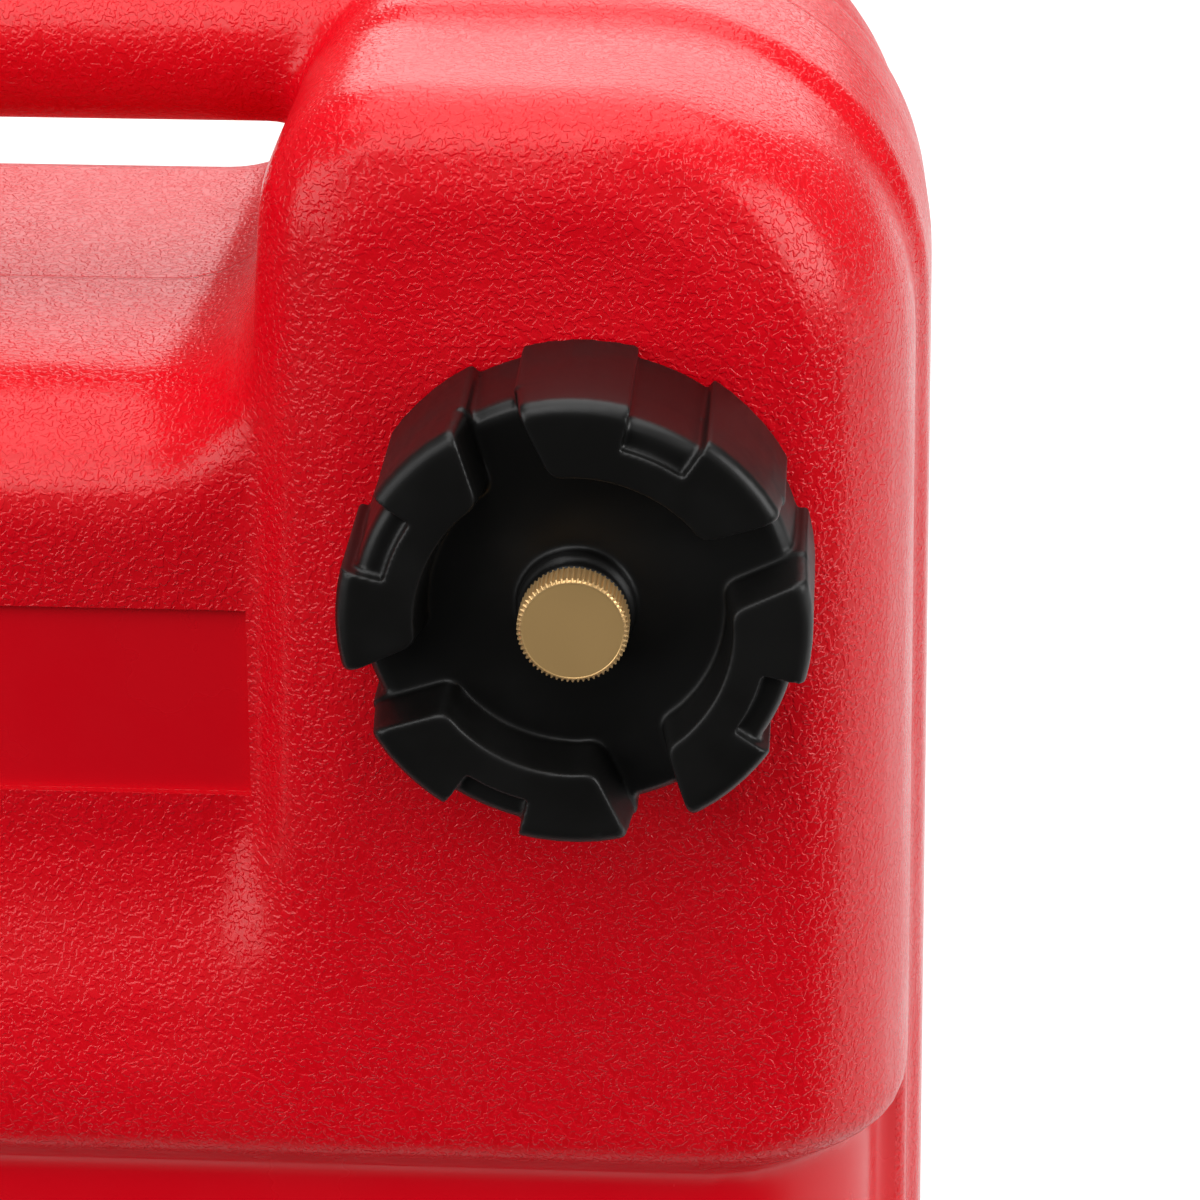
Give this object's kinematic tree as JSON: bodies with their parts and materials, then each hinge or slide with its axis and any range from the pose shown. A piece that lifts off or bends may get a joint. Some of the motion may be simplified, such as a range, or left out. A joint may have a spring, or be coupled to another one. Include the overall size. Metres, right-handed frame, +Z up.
{
  "type": "outboard fuel tank",
  "caption": "Portable outboard fuel tank with a carry handle, a lobed screw cap with a brass vent screw, and a level gauge and hose connector on one head.",
  "frame": {"origin": "on the ground under the tank, at the centre of its overall width and depth", "axes": "+Z up, -Y out of the front face with the cap and the gauge, +X to the right seen from the front, where the filler cap is"},
  "size_m": [0.3348, 0.2046, 0.27],
  "materials": {
    "red_polyethylene": "pebble-grained blow-moulded polyethylene",
    "black_plastic": "satin black moulding",
    "seal_rubber": "soft black rubber",
    "natural_plastic": "natural unfilled plastic",
    "bush_brass": "turned brass",
    "knob_brass": "turned face with a straight knurl",
    "clip_steel": "spring steel",
    "head_plastic": "satin black moulding",
    "dial_plate": "white dial",
    "clear_lens": "clear acrylic",
    "bezel_plastic": "gloss black ring",
    "magnet_steel": "sintered magnet",
    "needle_plastic": "red pointer",
    "pin_steel": "ground stainless steel",
    "arm_plastic": "dark acetal",
    "float_foam": "closed-cell foam",
    "tube_plastic": "translucent fuel tube",
    "fitting_brass": "cast and machined brass",
    "fitting_steel": "nickel-plated",
    "screw_steel": "stainless cap screws"
  },
  "bodies": {
    "tank": {"tank_body": "red_polyethylene", "gauge_head": "head_plastic", "head_gasket": "seal_rubber", "head_screw_1": "screw_steel", "head_screw_2": "screw_steel", "head_screw_3": "screw_steel", "head_screw_4": "screw_steel", "head_screw_5": "screw_steel", "head_screw_6": "screw_steel", "screw_insert_1": "bush_brass", "screw_insert_2": "bush_brass", "screw_insert_3": "bush_brass", "screw_insert_4": "bush_brass", "screw_insert_5": "bush_brass", "screw_insert_6": "bush_brass", "gauge_dial": "dial_plate", "gauge_lens": "clear_lens", "gauge_bezel": "bezel_plastic", "needle_pin": "pin_steel", "pivot_pin": "pin_steel", "arm_clip": "clip_steel", "pickup_tube": "tube_plastic", "strainer": "natural_plastic", "outlet_elbow": "fitting_brass", "elbow_seal": "seal_rubber", "connector_seal": "seal_rubber", "hose_connector": "fitting_steel", "valve_spring": "pin_steel"},
    "cap_lift": {"cap_gasket": "seal_rubber"},
    "cap": {"filler_cap": "black_plastic", "splash_guard": "natural_plastic", "vent_bush": "bush_brass"},
    "vent_lift": {"vent_seal": "seal_rubber"},
    "vent": {"vent_screw": "knob_brass", "vent_clip": "clip_steel"},
    "float": {"float_arm": "arm_plastic", "drive_magnet": "magnet_steel", "level_float": "float_foam", "float_clip": "clip_steel"},
    "needle": {"gauge_needle": "needle_plastic", "needle_magnet": "magnet_steel"},
    "valve": {"valve_pin": "pin_steel"}
  },
  "joints": [
    {"name": "cap_rise", "type": "slide", "parent": "tank", "child": "cap_lift", "axis": [0, -1, 0], "range_m": [0, 0.01801]},
    {"name": "cap_turn", "type": "hinge", "parent": "cap_lift", "child": "cap", "pos_m": [0.106, 0, 0.19], "axis": [0, -1, 0], "range_deg": [0, 1080]},
    {"name": "vent_rise", "type": "slide", "parent": "cap", "child": "vent_lift", "axis": [0, -1, 0], "range_m": [0, 0.002]},
    {"name": "vent_turn", "type": "hinge", "parent": "vent_lift", "child": "vent", "pos_m": [0.106, 0, 0.19], "axis": [0, -1, 0], "range_deg": [0, 721]},
    {"name": "float_swing", "type": "hinge", "parent": "tank", "child": "float", "pos_m": [-0.106, 0, 0.18], "axis": [0, -1, 0], "range_deg": [0, 80]},
    {"name": "needle_turn", "type": "hinge", "parent": "tank", "child": "needle", "pos_m": [-0.106, 0, 0.18], "axis": [0, -1, 0], "range_deg": [0, 80.1]},
    {"name": "valve_slide", "type": "slide", "parent": "tank", "child": "valve", "axis": [0, 0, -1], "range_m": [0, 0.0025], "stiffness_N_per_m": 150, "springref_m": -0.003, "deforming": ["valve_spring"]}
  ],
  "couplings": [
    {"joint": "cap_rise", "follows": "cap_turn", "m_per_rad": 0.00095493},
    {"joint": "vent_turn", "follows": "vent_rise", "rad_per_m": 6283.2},
    {"joint": "needle_turn", "follows": "float_swing", "ratio": 1}
  ]
}
